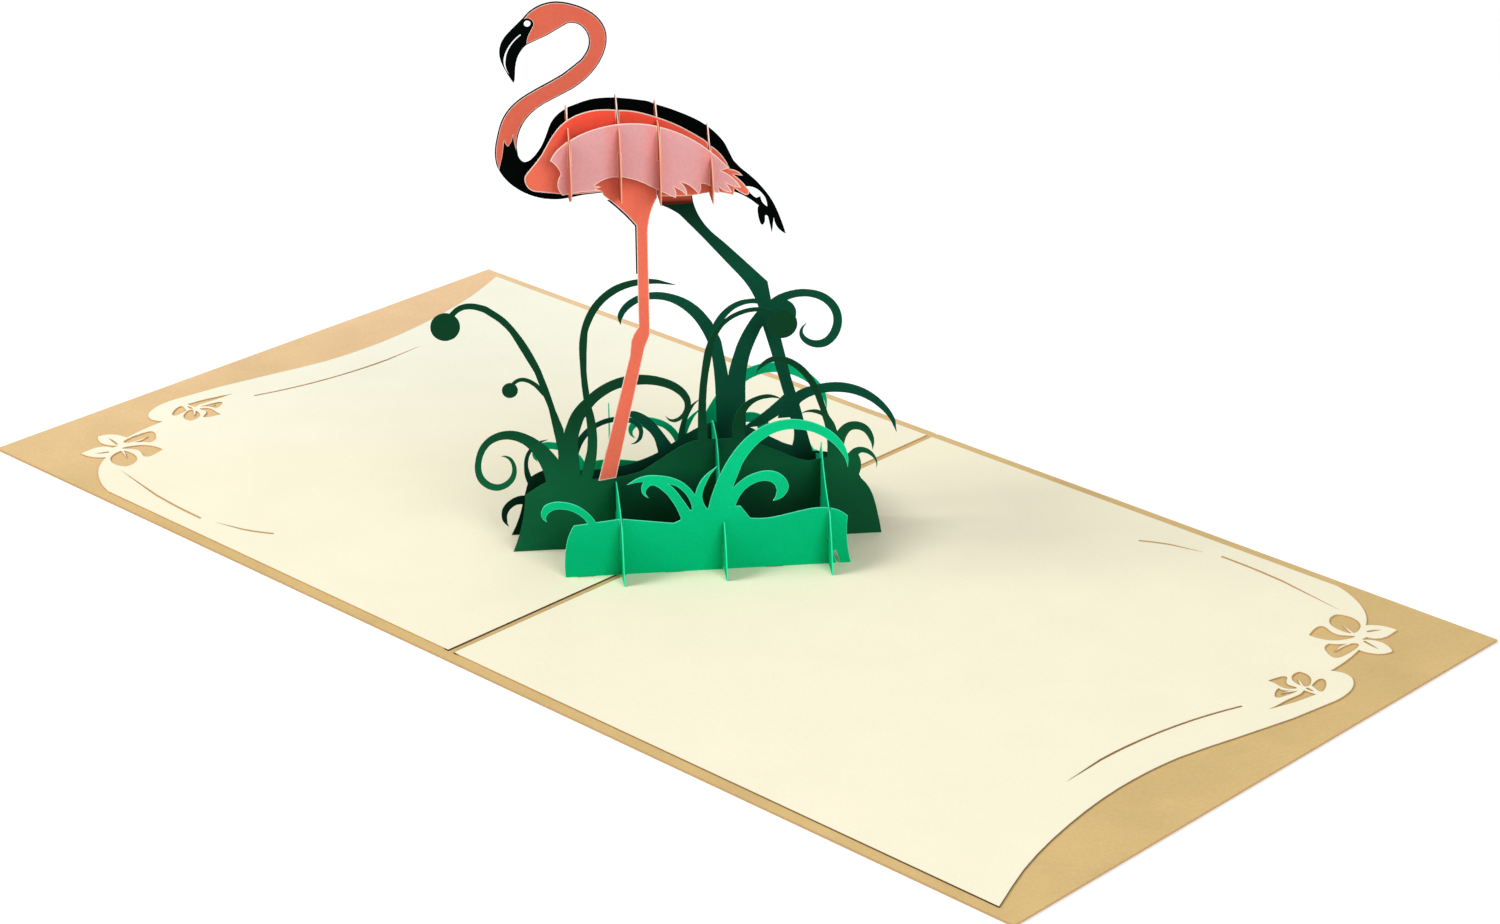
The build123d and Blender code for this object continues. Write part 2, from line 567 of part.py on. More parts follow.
def body_rib(rib, crown, shoulder, flank, nose, tip):
    """Cross rib of the body: heights of its edge at the middle, the slices, the wings and its ends."""
    half = ((body_rib_tip, tip), (body_rib_reach, nose), (wing_offset, flank), (slice_offset, shoulder))
    mirrored = [(-x, y) for x, y in reversed(half)]
    foot = (body_rib_foot, body_rib_bottom)
    far_foot = (-body_rib_foot, body_rib_bottom)
    distances = (-wing_offset, near_slice, 0, far_slice, wing_offset)
    crossings = [(layer - 2, distance, body_meetings[rib]) for layer, distance in enumerate(distances)]
    with BuildPart() as cross:
        with BuildSketch(rib_plane(body_stations[rib])) as sheet:
            outline(
                (foot, half[0]),
                (*half, (0, crown), *mirrored),
                (mirrored[-1], far_foot),
                (far_foot, foot),
            )
            rib_slots(sheet, rib, crossings)
        extrude(amount=paper / 2, both=True)
    return cross


def petal(*points):
    """Petal to cut out: a closed curve through its points with a corner at the first one."""
    outline((*points, points[0]))


def slit(*points):
    """Narrow curved slit through its points, running out to nothing at its far end."""
    leaf(*[(x, y, slit_width) for x, y in points[:-1]], (*points[-1], 0))


def vein(*points):
    """Thin strip of paper that stays in a cut petal, from its root to its pointed end."""
    leaf(*[(x, y, vein_width) for x, y in points[:-1]], (*points[-1], 0), mode=Mode.SUBTRACT)


def wavy_edge():
    """What is cut away outside the wavy edge of a liner, past the ends of the sheet."""
    outline(
        ((2.1, -90.0), (-4.7, -72.8), (-9.4, -61.0), (-13.8, -43.0), (-15.7, -26.0), (-14.8, -9.3),
         (-11.6, 4.5), (-8.4, 18.0), (-6.7, 29.0), (-7.3, 36.0), (-10.2, 39.8), (-14.8, 39.3)),
        ((-14.8, 39.3), (-15.1, 45.0), (-16.0, 50.4)),
        ((-16.0, 50.4), (-14.6, 50.5), (-11.9, 51.8), (-10.8, 54.6)),
        ((-10.8, 54.6), (-15.5, 56.2), (-18.2, 54.6)),
        ((-18.2, 54.6), (-18.2, 56.1)),
        ((-18.2, 56.1), (-16.1, 57.1), (-15.3, 59.4), (-15.5, 62.9)),
        ((-15.5, 62.9), (-19.2, 62.2), (-21.4, 60.4)),
        ((-21.4, 60.4), (-26.5, 66.4), (-34.5, 70.6), (-44.0, 72.8), (-66.5, 78.0)),
        ((-66.5, 78.0), (-66.5, 90.0)),
        ((-66.5, 90.0), (10.0, 90.0)),
        ((10.0, 90.0), (10.0, -90.0)),
        ((10.0, -90.0), (2.1, -90.0)),
    )


def large_flower():
    """Cut petals of the flower near the rear corner, with their veins and two slits."""
    petal((-28.6, 60.2), (-25.9, 61.2), (-22.6, 60.0), (-21.2, 57.6), (-21.2, 55.7), (-23.9, 55.0),
          (-27.3, 56.2), (-28.7, 58.6))
    vein((-20.6, 55.4), (-22.5, 56.1), (-24.9, 57.2))
    petal((-27.2, 49.0), (-26.9, 54.0), (-22.8, 53.1), (-20.1, 54.8), (-21.3, 51.4), (-23.7, 49.5))
    petal((-22.0, 48.6), (-19.8, 50.4), (-17.9, 52.5), (-16.7, 46.7), (-17.5, 44.4), (-20.1, 45.3),
          (-21.7, 46.8))
    vein((-18.9, 51.7), (-19.4, 49.0), (-19.1, 46.6))
    slit((-19.5, 58.1), (-18.7, 59.6), (-17.8, 60.8))
    slit((-17.5, 54.3), (-15.5, 53.8), (-13.3, 53.4))


def small_flower():
    """Cut petals of the flower on the widest part of the edge, with its stem."""
    petal((-19.1, 34.6), (-16.6, 34.5), (-15.0, 33.0), (-14.4, 30.5), (-15.6, 30.2), (-17.9, 30.9))
    vein((-14.8, 30.1), (-16.4, 31.2), (-17.5, 32.2))
    petal((-21.3, 27.5), (-19.2, 30.8), (-17.3, 28.7), (-15.3, 28.8), (-16.4, 27.4), (-18.8, 27.3))
    petal((-17.8, 26.3), (-15.9, 26.7), (-14.5, 28.7), (-14.8, 25.8), (-16.0, 22.9), (-17.4, 24.6))
    vein((-14.4, 28.9), (-14.9, 27.6), (-15.6, 26.5), (-16.1, 24.8))
    petal((-13.8, 31.6), (-13.5, 35.3), (-12.1, 34.0), (-11.1, 30.7), (-12.7, 31.2))
    slit((-13.9, 30.1), (-12.9, 29.9), (-12.0, 29.9))
    outline(
        ((-11.0, 29.1), (-11.3, 27.9), (-12.1, 23.8), (-13.6, 19.3), (-14.9, 14.7)),
        ((-14.9, 14.7), (-13.8, 19.6), (-13.7, 23.7), (-13.3, 26.7), (-13.7, 28.9)),
        ((-13.7, 28.9), (-11.0, 29.1)),
    )


def tongue_slits(side):
    """Slits for the tongues that land on one half of the card, side is 1 right, -1 left."""
    tongues = [(-grass_offset, x) for x in front_grass_tongues]
    tongues += [(front_dark, x) for x in reed_tongues]
    tongues += [(rear_dark, x) for x in reed_tongues]
    tongues += [(grass_offset, x) for x in rear_grass_tongues]
    for distance, x in tongues:
        foot = middle + along * x + back * distance
        if foot.X * side > 0:
            with Locations(Location((foot.X, foot.Y), popup_turn)):
                Rectangle(tongue_length + tongue_clearance, paper + tongue_clearance)


def liner(side):
    """Cream sheet glued inside one half; the left one is the right one turned half round."""
    length = half_width - liner_margin - liner_fold_gap / 2
    depth = card_depth - 2 * liner_margin
    fold_edge = Vector(side * liner_fold_gap / 2, 0, cover_thickness)
    ornament = Vector(side * (half_width - ornament_inset), side * ornament_shift, cover_thickness)
    with BuildPart() as sheet:
        with BuildSketch(Plane(origin=fold_edge, x_dir=(side, 0, 0), z_dir=(0, 0, 1))):
            Rectangle(length, depth, align=(Align.MIN, Align.CENTER))
        extrude(amount=liner_thickness)
        with BuildSketch(Plane(origin=ornament, x_dir=(side, 0, 0), z_dir=(0, 0, 1))):
            wavy_edge()
            large_flower()
            small_flower()
            slit((-18.6, 15.4), (-22.0, 4.5), (-24.3, -8.5), (-25.0, -20.0), (-24.3, -31.5))
            slit((-62.3, 66.0), (-46.0, 65.2), (-28.5, 62.2))
            slit((-79.9, 60.2), (-73.5, 63.3), (-65.8, 65.2))
            scale(by=card_depth / ornament_depth, about=(0, 0, 0))
        extrude(amount=liner_thickness, mode=Mode.SUBTRACT)
        with BuildSketch(Plane.XY.offset(cover_thickness)):
            tongue_slits(side)
        extrude(amount=liner_thickness, mode=Mode.SUBTRACT)
    return sheet


def card_cover():
    """Folded sheet, open flat, with a pressed crease along the inside of the fold."""
    with BuildPart() as cover:
        Box(2 * half_width, card_depth, cover_thickness, align=(Align.CENTER, Align.CENTER, Align.MIN))
        with BuildSketch(Plane.XZ.offset(-card_depth / 2)):
            with BuildLine():
                Polyline(
                    (-crease_width / 2, cover_thickness),
                    (0, cover_thickness - crease_depth),
                    (crease_width / 2, cover_thickness),
                    close=True,
                )
            make_face()
        extrude(amount=card_depth, mode=Mode.SUBTRACT)
    return cover


pieces = {
    "cover": card_cover(),
    "left_liner": liner(-1),
    "right_liner": liner(1),
    "front_grass": grass_sheet(-2, -grass_offset, 0, front_grass_tongues),
    "rear_grass": grass_sheet(2, grass_offset, rear_grass_drop, rear_grass_tongues),
    "front_reeds": reed_sheet(-1, front_dark, front_bank, front_reeds),
    "rear_reeds": reed_sheet(1, rear_dark, rear_bank, rear_reeds),
    "left_grass_rib": grass_rib(
        0,
        ((-grass_rib_reach, floor), (-22.2, 6.5), (-19.4, 12.4)),
        ((-19.4, 12.4), (-14.0, 14.4), (-4.3, 16.0)),
        ((-4.3, 16.0), (0.0, 16.2), (6.0, 15.0), (12.6, 16.6)),
        ((12.6, 16.6), (13.8, 21.0), (14.4, 26.0)),
        ((14.4, 26.0), (15.2, 20.0), (17.0, 13.8)),
        ((17.0, 13.8), (20.6, 9.0), (grass_rib_reach, floor)),
    ),
    "middle_grass_rib": grass_rib(
        1,
        ((-grass_rib_reach, floor), (-22.4, 6.5), (-18.6, 11.8)),
        ((-18.6, 11.8), (-10.0, 16.5), (-4.3, 24.2), (1.0, 25.0), (5.6, 24.6), (9.6, 20.5), (17.0, 13.2)),
        ((17.0, 13.2), (21.4, 8.0), (grass_rib_reach, floor)),
    ),
    "right_grass_rib": grass_rib(
        2,
        ((-grass_rib_reach, floor), (-22.4, 6.5), (-18.6, 13.0)),
        ((-18.6, 13.0), (-10.6, 16.8), (-6.6, 20.0), (-4.6, 22.8)),
        ((-4.6, 22.8), (-1.0, 18.6), (8.0, 15.4), (17.0, 13.2)),
        ((17.0, 13.2), (21.4, 8.0), (grass_rib_reach, floor)),
    ),
    "bird_outline": bird_outline(),
    "near_neck_patch": neck_patch(-1),
    "far_neck_patch": neck_patch(1),
    "near_body_slice": near_body_slice(),
    "far_body_slice": far_body_slice(),
    "near_leg_backing": leg_backing(),
    "near_wing": wing(-2, -wing_offset, 0),
    "far_wing": wing(2, wing_offset, far_wing_drop),
    "breast_rib": body_rib(0, 98.4, 95.2, 93.4, 88.0, 81.8),
    "shoulder_rib": body_rib(1, 100.3, 97.4, 96.0, 89.5, 80.8),
    "hip_rib": body_rib(2, 98.9, 96.0, 95.2, 88.5, 79.8),
    "tail_rib": body_rib(3, 93.2, 90.2, 88.8, 84.8, 79.8),
}

os.makedirs("parts", exist_ok=True)
for name, piece in pieces.items():
    piece.part.label = name
    export_step(piece.part, "parts/" + name + ".step")
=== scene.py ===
import math
import bmesh
import bpy
from mathutils import Matrix, Vector
from mathutils.geometry import delaunay_2d_cdt


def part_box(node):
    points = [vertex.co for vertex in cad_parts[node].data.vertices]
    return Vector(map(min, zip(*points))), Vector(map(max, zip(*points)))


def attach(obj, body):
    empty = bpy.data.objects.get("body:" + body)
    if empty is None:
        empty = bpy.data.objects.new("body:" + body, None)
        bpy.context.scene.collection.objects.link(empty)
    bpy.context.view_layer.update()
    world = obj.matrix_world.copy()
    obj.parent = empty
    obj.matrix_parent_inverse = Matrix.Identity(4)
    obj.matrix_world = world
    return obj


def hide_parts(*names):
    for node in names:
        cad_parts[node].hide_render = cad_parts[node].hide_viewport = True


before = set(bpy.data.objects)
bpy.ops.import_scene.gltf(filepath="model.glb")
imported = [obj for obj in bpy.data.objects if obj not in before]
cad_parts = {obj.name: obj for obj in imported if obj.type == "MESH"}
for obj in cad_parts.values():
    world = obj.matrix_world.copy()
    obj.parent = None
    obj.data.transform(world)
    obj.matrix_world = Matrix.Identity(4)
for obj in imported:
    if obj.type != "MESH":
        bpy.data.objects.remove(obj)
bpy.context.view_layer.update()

# Frame of the photograph and the camera that sees the card from its corner
PHOTO_WIDTH = 1500
SENSOR_WIDTH = 36.0
CAMERA_AZIMUTH = math.radians(44.15)
CAMERA_ELEVATION = math.radians(24.36)
CAMERA_ROLL = math.radians(-0.534)
CAMERA_DISTANCE = 0.8425
FOCAL_PIXELS = 3776.2
LOOKED_AT = Vector((-0.0210, 0.03585, 0))

# Directions of the card: across its fold, along its fold and up
RIGHT = Vector((1, 0, 0))
REAR = Vector((0, 1, 0))
UP = Vector((0, 0, 1))

# Directions of the pop-up's sheets, which are turned about the vertical
POPUP_TURN = math.radians(50)
ALONG = Vector((math.cos(POPUP_TURN), math.sin(POPUP_TURN), 0))
BACK = Vector((-math.sin(POPUP_TURN), math.cos(POPUP_TURN), 0))

# Sizes of a paper's fibres and of its soft clouds, and the noise values that they run between
FIBRE_SIZE = 0.0007
CLOUD_SIZE = 0.018
NOISE_LOW = 0.3
NOISE_HIGH = 0.7

# Surface of the papers
ROUGHNESS = 0.8
ROUGHNESS_SPREAD = 0.06
RELIEF_STRENGTH = 0.25
RELIEF_HEIGHT = 0.00006

# Cut edges, told from the faces by the cosine of an angle, and how far their colour reaches onto the faces
FACE_COSINE = 0.9
CUT_COSINE = 0.6
RIM_START_COSINE = 0.995
RIM_FULL_COSINE = 0.93
RIM_SAMPLES = 8
RIM_WIDTH = 0.00022
WIDE_RIM = 0.0004

# Liners' cut edges: scorched dark beside the front part of the fold and at the card's right front corner,
# and paler elsewhere with painted light
FOLD_BESIDE = 0.0015
FOLD_CLEAR = 0.0025
FOLD_FRONT = -0.03
CORNER_DIAGONAL = Vector((-0.7, 0.7, 0))
CORNER_START = -0.15
CORNER_END = -0.05

# Shade on the front reeds: distances from the outer grass ribs, and heights
SHADE_OUTSIDE_LEFT = 0.002
SHADE_INSIDE_LEFT = 0.001
SHADE_INSIDE_RIGHT = 0.004
SHADE_RIGHT_SHARE = 0.55
SHADE_FOOT = 0.009
SHADE_FOOT_END = 0.019
SHADE_TOP_START = 0.017
SHADE_TOP = 0.032

# Outlines of the CAD nodes: how near two points are one, and how squarely a flat face looks along its axis
SAME_POINT = 1e-6
FLAT_COSINE = 0.99

# Cut outlines: turns up to the first angle lie on curves, drawn in fine steps, and sharp tips stay straight
CORNER_TURN = math.radians(23)
TIP_TURN = math.radians(150)
CURVE_STEP = math.radians(3)

# A curve starts along an edge that is this many times longer than the next one
LONG_EDGE = 2.5

# Triangles of a sheet, made in millimetres inside its outline and outside its holes
MILLIMETRES = 1000
INSIDE_WITH_HOLES = 2
MERGE_DISTANCE = 1e-5

# Edges of a sheet that turn more than this are shaded as sharp
SHARP_ANGLE = math.radians(30)

# White table: half its side, its depth below the card, and its own glow near the card and far from it
TABLE_REACH = 4.0
TABLE_DROP = 0.0001
TABLE_COLOUR = (0.85, 0.85, 0.86)
GLOW_NEAR = 0.3
GLOW_FAR = 1.0
GLOW_START = 0.4
GLOW_END = 1.6

# Light that the room throws on the card, where the background itself is 1
ROOM_LIGHT = 0.29


def node_tree(owner, output="ShaderNodeOutputMaterial"):
    """Node tree of a material or world, emptied, with its output node."""
    owner.use_nodes = True
    tree = owner.node_tree
    tree.nodes.clear()
    return tree, tree.nodes.new(output)


def feed(tree, socket, value):
    """Link a socket to another one, or give it a plain value."""
    if isinstance(value, bpy.types.NodeSocket):
        tree.links.new(value, socket)
    else:
        socket.default_value = value


def math_node(tree, operation, *values):
    """Math node on sockets or plain numbers."""
    node = tree.nodes.new("ShaderNodeMath")
    node.operation = operation
    for socket, value in zip(node.inputs, values):
        feed(tree, socket, value)
    return node.outputs[0]


def dot_product(tree, first, second):
    """Dot product of two vectors, each a socket or a plain vector."""
    node = tree.nodes.new("ShaderNodeVectorMath")
    node.operation = "DOT_PRODUCT"
    feed(tree, node.inputs[0], first)
    feed(tree, node.inputs[1], second)
    return node.outputs["Value"]


def map_range(tree, value, low, high, to_low=0.0, to_high=1.0):
    """Clamped straight map of a value from one range to another."""
    node = tree.nodes.new("ShaderNodeMapRange")
    tree.links.new(value, node.inputs["Value"])
    node.inputs["From Min"].default_value = low
    node.inputs["From Max"].default_value = high
    node.inputs["To Min"].default_value = to_low
    node.inputs["To Max"].default_value = to_high
    return node.outputs["Result"]


def mix_colour(tree, share, first, second):
    """Mix of two colours, each a socket or a plain colour, by a share that is a socket."""
    node = tree.nodes.new("ShaderNodeMix")
    node.data_type = "RGBA"
    tree.links.new(share, node.inputs["Factor"])
    for name, colour in (("A", first), ("B", second)):
        socket = [s for s in node.inputs if s.name == name and s.type == "RGBA"][0]
        if not isinstance(colour, bpy.types.NodeSocket):
            colour = (*colour, 1)
        feed(tree, socket, colour)
    return [s for s in node.outputs if s.type == "RGBA"][0]


def place(tree):
    """Place of a point in metres from its object's origin, which for every sheet is the card's own."""
    return tree.nodes.new("ShaderNodeTexCoord").outputs["Object"]


def noise(tree, size, detail, roughness, stretch=(1, 1, 1)):
    """Noise with features of about this size in metres."""
    mapping = tree.nodes.new("ShaderNodeMapping")
    mapping.inputs["Scale"].default_value = stretch
    tree.links.new(place(tree), mapping.inputs["Vector"])
    node = tree.nodes.new("ShaderNodeTexNoise")
    tree.links.new(mapping.outputs["Vector"], node.inputs["Vector"])
    node.inputs["Scale"].default_value = 1 / size
    node.inputs["Detail"].default_value = detail
    node.inputs["Roughness"].default_value = roughness
    return node.outputs["Fac"]


def cut_edge(tree, flat_axis):
    """1 on the cut edges of a flat sheet, whose faces look along the given axis, and 0 on its faces."""
    geometry = tree.nodes.new("ShaderNodeNewGeometry")
    facing = math_node(tree, "ABSOLUTE", dot_product(tree, geometry.outputs["True Normal"], flat_axis))
    return map_range(tree, facing, FACE_COSINE, CUT_COSINE)


def rim(tree, width):
    """Rises to 1 on the face of a sheet close to its cut edges."""
    bevel = tree.nodes.new("ShaderNodeBevel")
    bevel.samples = RIM_SAMPLES
    bevel.inputs["Radius"].default_value = width
    geometry = tree.nodes.new("ShaderNodeNewGeometry")
    facing = dot_product(tree, bevel.outputs["Normal"], geometry.outputs["True Normal"])
    return map_range(tree, facing, RIM_START_COSINE, RIM_FULL_COSINE)


def reach_along(tree, axis):
    """Distance of a point from the origin along an axis, in metres."""
    return dot_product(tree, place(tree), axis)


def rising(low, high, axis=UP):
    """Share that rises along an axis, between two distances in metres."""
    return lambda tree: map_range(tree, reach_along(tree, axis), low, high)


def low_and_high(foot, middle, neck, top):
    """Share that is full below one height, none between two others and full again above the last."""
    def share(tree):
        height = reach_along(tree, UP)
        low = map_range(tree, height, foot, middle, 1, 0)
        return math_node(tree, "MAXIMUM", low, map_range(tree, height, neck, top))
    return share


def station(name):
    """Distance of an upright cross rib from the origin along the long sheets."""
    low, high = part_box(name)
    return ((Vector(low) + Vector(high)) / 2).dot(ALONG)


def painted_lit_cuts(tree):
    """Share of painted light on the liners' cut edges, which grows away from the card's right front corner
    and is 0 beside the fold's front end.
    """
    beside = math_node(tree, "ABSOLUTE", reach_along(tree, RIGHT))
    fold = math_node(
        tree, "MULTIPLY",
        map_range(tree, beside, FOLD_BESIDE, FOLD_CLEAR, 1, 0),
        map_range(tree, reach_along(tree, REAR), FOLD_FRONT, 0, 1, 0),
    )
    corner = map_range(tree, reach_along(tree, CORNER_DIAGONAL), CORNER_START, CORNER_END)
    return math_node(tree, "MULTIPLY", corner, math_node(tree, "SUBTRACT", 1, fold))


def behind_grass(tree):
    """Share that is 1 high up and, between the outer grass ribs, near the foot."""
    height = reach_along(tree, UP)
    along = reach_along(tree, ALONG)
    left = station("left_grass_rib")
    right = station("right_grass_rib")
    inside = math_node(
        tree, "MULTIPLY",
        map_range(tree, along, left - SHADE_OUTSIDE_LEFT, left + SHADE_INSIDE_LEFT),
        map_range(tree, along, right - SHADE_INSIDE_RIGHT, right, 1, SHADE_RIGHT_SHARE),
    )
    foot = math_node(tree, "MULTIPLY", inside, map_range(tree, height, SHADE_FOOT, SHADE_FOOT_END, 1, 0))
    return math_node(tree, "MAXIMUM", foot, map_range(tree, height, SHADE_TOP_START, SHADE_TOP))


def beside_ribs(names, reach, strength):
    """Share that is strongest at the left side of each rib and fades out over a reach in metres."""
    def share(tree):
        along = reach_along(tree, ALONG)
        total = None
        for name in names:
            gap = math_node(tree, "SUBTRACT", station(name), along)
            near = map_range(tree, gap, 0, reach, strength, 0)
            near = math_node(tree, "MULTIPLY", near, math_node(tree, "GREATER_THAN", gap, 0))
            total = near if total is None else math_node(tree, "MAXIMUM", total, near)
        return total
    return share


def paper(name, face, cut, flat_axis, grain=0.05, mottle=0.05, rim_share=0.8, rim_width=RIM_WIDTH,
          gloss=0.02, laid=1.0, tint=None, cut_tint=None):
    """Matt paper with fibre grain and soft mottling, whose cut edges show another colour.

    laid below 1 draws the fibres out sideways. tint and cut_tint are pairs: a function that makes
    the share of a second colour, and that colour, for the faces and for the cut edges.
    """
    material = bpy.data.materials.new(name)
    tree, output = node_tree(material)
    shader = tree.nodes.new("ShaderNodeBsdfPrincipled")
    tree.links.new(shader.outputs[0], output.inputs["Surface"])
    shader.inputs["Specular IOR Level"].default_value = gloss

    fibre = noise(tree, FIBRE_SIZE, detail=4.0, roughness=0.65, stretch=(laid, laid, 1))
    cloud = noise(tree, CLOUD_SIZE, detail=2.0, roughness=0.55)
    tone = math_node(
        tree, "ADD",
        map_range(tree, fibre, NOISE_LOW, NOISE_HIGH, 1 - grain, 1 + grain),
        map_range(tree, cloud, NOISE_LOW, NOISE_HIGH, -mottle, mottle),
    )
    if tint:
        share, second = tint
        face = mix_colour(tree, share(tree), face, second)
    if cut_tint:
        share, second = cut_tint
        cut = mix_colour(tree, share(tree), cut, second)
    toned = tree.nodes.new("ShaderNodeVectorMath")
    toned.operation = "SCALE"
    feed(tree, toned.inputs[0], face)
    tree.links.new(tone, toned.inputs["Scale"])
    rimmed = math_node(tree, "MULTIPLY", rim(tree, rim_width), rim_share)
    colour = mix_colour(tree, rimmed, toned.outputs["Vector"], cut)
    colour = mix_colour(tree, cut_edge(tree, flat_axis), colour, cut)
    tree.links.new(colour, shader.inputs["Base Color"])
    smoothest = ROUGHNESS - ROUGHNESS_SPREAD
    roughest = ROUGHNESS + ROUGHNESS_SPREAD
    roughness = map_range(tree, fibre, NOISE_LOW, NOISE_HIGH, smoothest, roughest)
    tree.links.new(roughness, shader.inputs["Roughness"])

    relief = tree.nodes.new("ShaderNodeBump")
    relief.inputs["Strength"].default_value = RELIEF_STRENGTH
    relief.inputs["Distance"].default_value = RELIEF_HEIGHT
    tree.links.new(fibre, relief.inputs["Height"])
    tree.links.new(relief.outputs["Normal"], shader.inputs["Normal"])
    return material


def outline_loops(node, flat_axis):
    """Closed outlines of a flat sheet, as lists of points on one of its faces, and its thickness."""
    mesh = bmesh.new()
    mesh.from_mesh(node.data)
    bmesh.ops.remove_doubles(mesh, verts=mesh.verts, dist=SAME_POINT)
    faces = {face for face in mesh.faces if face.normal.dot(flat_axis) > FLAT_COSINE}
    reaches = [vertex.co.dot(flat_axis) for vertex in mesh.verts]
    neighbours = {}
    for edge in mesh.edges:
        if sum(face in faces for face in edge.link_faces) == 1:
            first, second = edge.verts
            neighbours.setdefault(first, []).append(second)
            neighbours.setdefault(second, []).append(first)
    loops = []
    seen = set()
    for start in neighbours:
        if start in seen:
            continue
        loop = [start]
        seen.add(start)
        while True:
            onward = [vertex for vertex in neighbours[loop[-1]] if vertex not in seen]
            if not onward:
                break
            loop.append(onward[0])
            seen.add(onward[0])
        loops.append([vertex.co.copy() for vertex in loop])
    mesh.free()
    return loops, max(reaches) - min(reaches)


def tangents(points):
    """Direction of the outline at each point, or None at a corner, and the places of sharp tips."""
    found = []
    tips = set()
    for before, point, after in zip(points[-1:] + points[:-1], points, points[1:] + points[:1]):
        arriving = point - before
        leaving = after - point
        turn = arriving.angle(leaving)
        if turn > TIP_TURN:
            tips.add(len(found))
        if turn > CORNER_TURN:
            found.append(None)
        elif arriving.length > LONG_EDGE * leaving.length:
            found.append(arriving.normalized())
        elif leaving.length > LONG_EDGE * arriving.length:
            found.append(leaving.normalized())
        else:
            blend = arriving.normalized() * leaving.length + leaving.normalized() * arriving.length
            found.append(blend.normalized())
    return found, tips


def smooth_loop(points):
    """The outline with its curves drawn in finer steps, through the same points."""
    directions, tips = tangents(points)
    drawn = []
    for i, start in enumerate(points):
        following = (i + 1) % len(points)
        end = points[following]
        chord = end - start
        leaving = directions[i]
        arriving = directions[following]
        drawn.append(start)
        if i in tips or following in tips or (leaving is None and arriving is None):
            continue
        straight = chord.normalized()
        if leaving is None:
            leaving = 2 * arriving.dot(straight) * straight - arriving
        if arriving is None:
            arriving = 2 * leaving.dot(straight) * straight - leaving
        steps = math.ceil(leaving.angle(arriving, 0) / CURVE_STEP)
        for step in range(1, steps):
            share = step / steps
            drawn.append(
                (1 + 2 * share) * (1 - share) ** 2 * start
                + share ** 2 * (3 - 2 * share) * end
                + share * (1 - share) ** 2 * chord.length * leaving
                - share ** 2 * (1 - share) * chord.length * arriving
            )
    return drawn


def face_triangles(loops, flat_axis):
    """Points of a sheet's flat face, whose outlines are drawn smoothly, and the triangles between them."""
    across = REAR if flat_axis == UP else UP
    sideways = across.cross(flat_axis)
    level = loops[0][0].dot(flat_axis)
    flat = []
    rings = []
    for loop in loops:
        drawn = smooth_loop(loop)
        rings.append(range(len(flat), len(flat) + len(drawn)))
        flat += [Vector((point.dot(sideways), point.dot(across))) * MILLIMETRES for point in drawn]
    flat, _, triangles, _, _, _ = delaunay_2d_cdt(flat, [], rings, INSIDE_WITH_HOLES, MERGE_DISTANCE)
    points = [sideways * p.x / MILLIMETRES + across * p.y / MILLIMETRES + flat_axis * level for p in flat]
    return points, triangles


def sheet_mesh(name, near, triangles, depth):
    """Closed mesh of a flat sheet: its face, the same face moved by its depth, and the cut edges."""
    count = len(near)
    far = [point - depth for point in near]
    faces = []
    for triangle in triangles:
        faces.append(tuple(triangle))
        faces.append(tuple(count + i for i in reversed(triangle)))
    # A side that no neighbouring triangle shares lies on an outline
    sides = [side for triangle in triangles for side in zip(triangle, triangle[1:] + triangle[:1])]
    known = set(sides)
    outer = [(start, end) for start, end in sides if (end, start) not in known]
    faces += [(end, start, count + start, count + end) for start, end in outer]
    mesh = bpy.data.meshes.new(name)
    mesh.from_pydata(near + far, [], faces)
    solid = bmesh.new()
    solid.from_mesh(mesh)
    bmesh.ops.recalc_face_normals(solid, faces=solid.faces)
    solid.to_mesh(mesh)
    solid.free()
    mesh.shade_smooth()
    mesh.set_sharp_from_angle(angle=SHARP_ANGLE)
    return mesh


def add_object(name, data):
    """New object in the scene."""
    added = bpy.data.objects.new(name, data)
    bpy.context.scene.collection.objects.link(added)
    return added


def make_sheets(material, slot, flat_axis, *names):
    """Flat sheets of one paper, each in the place of its CAD node, with that node's outline."""
    for name in names:
        loops, thickness = outline_loops(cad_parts[name], flat_axis)
        points, triangles = face_triangles(loops, flat_axis)
        mesh = sheet_mesh(name + "_paper", points, triangles, flat_axis * thickness)
        mesh.materials.append(material)
        piece = add_object(name + "_paper", mesh)
        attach(piece, "root")
        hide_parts(name)


def make_cover():
    """The tan card, which keeps its CAD solid and grows paler towards the left rear with painted light."""
    tan = (0.685, 0.49, 0.215)
    brown = (0.60, 0.38, 0.18)
    pale_tan = (0.90, 0.625, 0.36)
    # Painted light: the tan turns paler towards the left rear, where the card is lit more.
    painted_light_rear = rising(low=0.02, high=0.145, axis=BACK)
    card = paper("tan_card", tan, brown, UP, rim_share=0.15, tint=(painted_light_rear, pale_tan))
    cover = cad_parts["cover"]
    cover.material_slots[0].material = card


def make_liners():
    """The cream sheets, which grow nearly white towards the left rear with painted light, with scorched cut
    edges that painted light makes paler away from the fold's front and the right front corner.
    """
    cream = (0.955, 0.90, 0.69)
    white = (0.985, 0.98, 0.81)
    burnt = (0.07, 0.035, 0.012)
    painted_lit_scorch = (0.62, 0.42, 0.20)
    # Painted light: the cream turns nearly white towards the left rear.
    painted_light_rear = rising(low=0.045, high=0.12, axis=BACK)
    # Painted light: the scorched cut edges turn paler away from the fold's front and the right front
    # corner.
    liner = paper(
        "cream_paper", cream, burnt, UP, grain=0.02, mottle=0.012, rim_share=0.6, rim_width=0.0003,
        tint=(painted_light_rear, white), cut_tint=(painted_lit_cuts, painted_lit_scorch))
    make_sheets(liner, "cream_paper", UP, "left_liner", "right_liner")


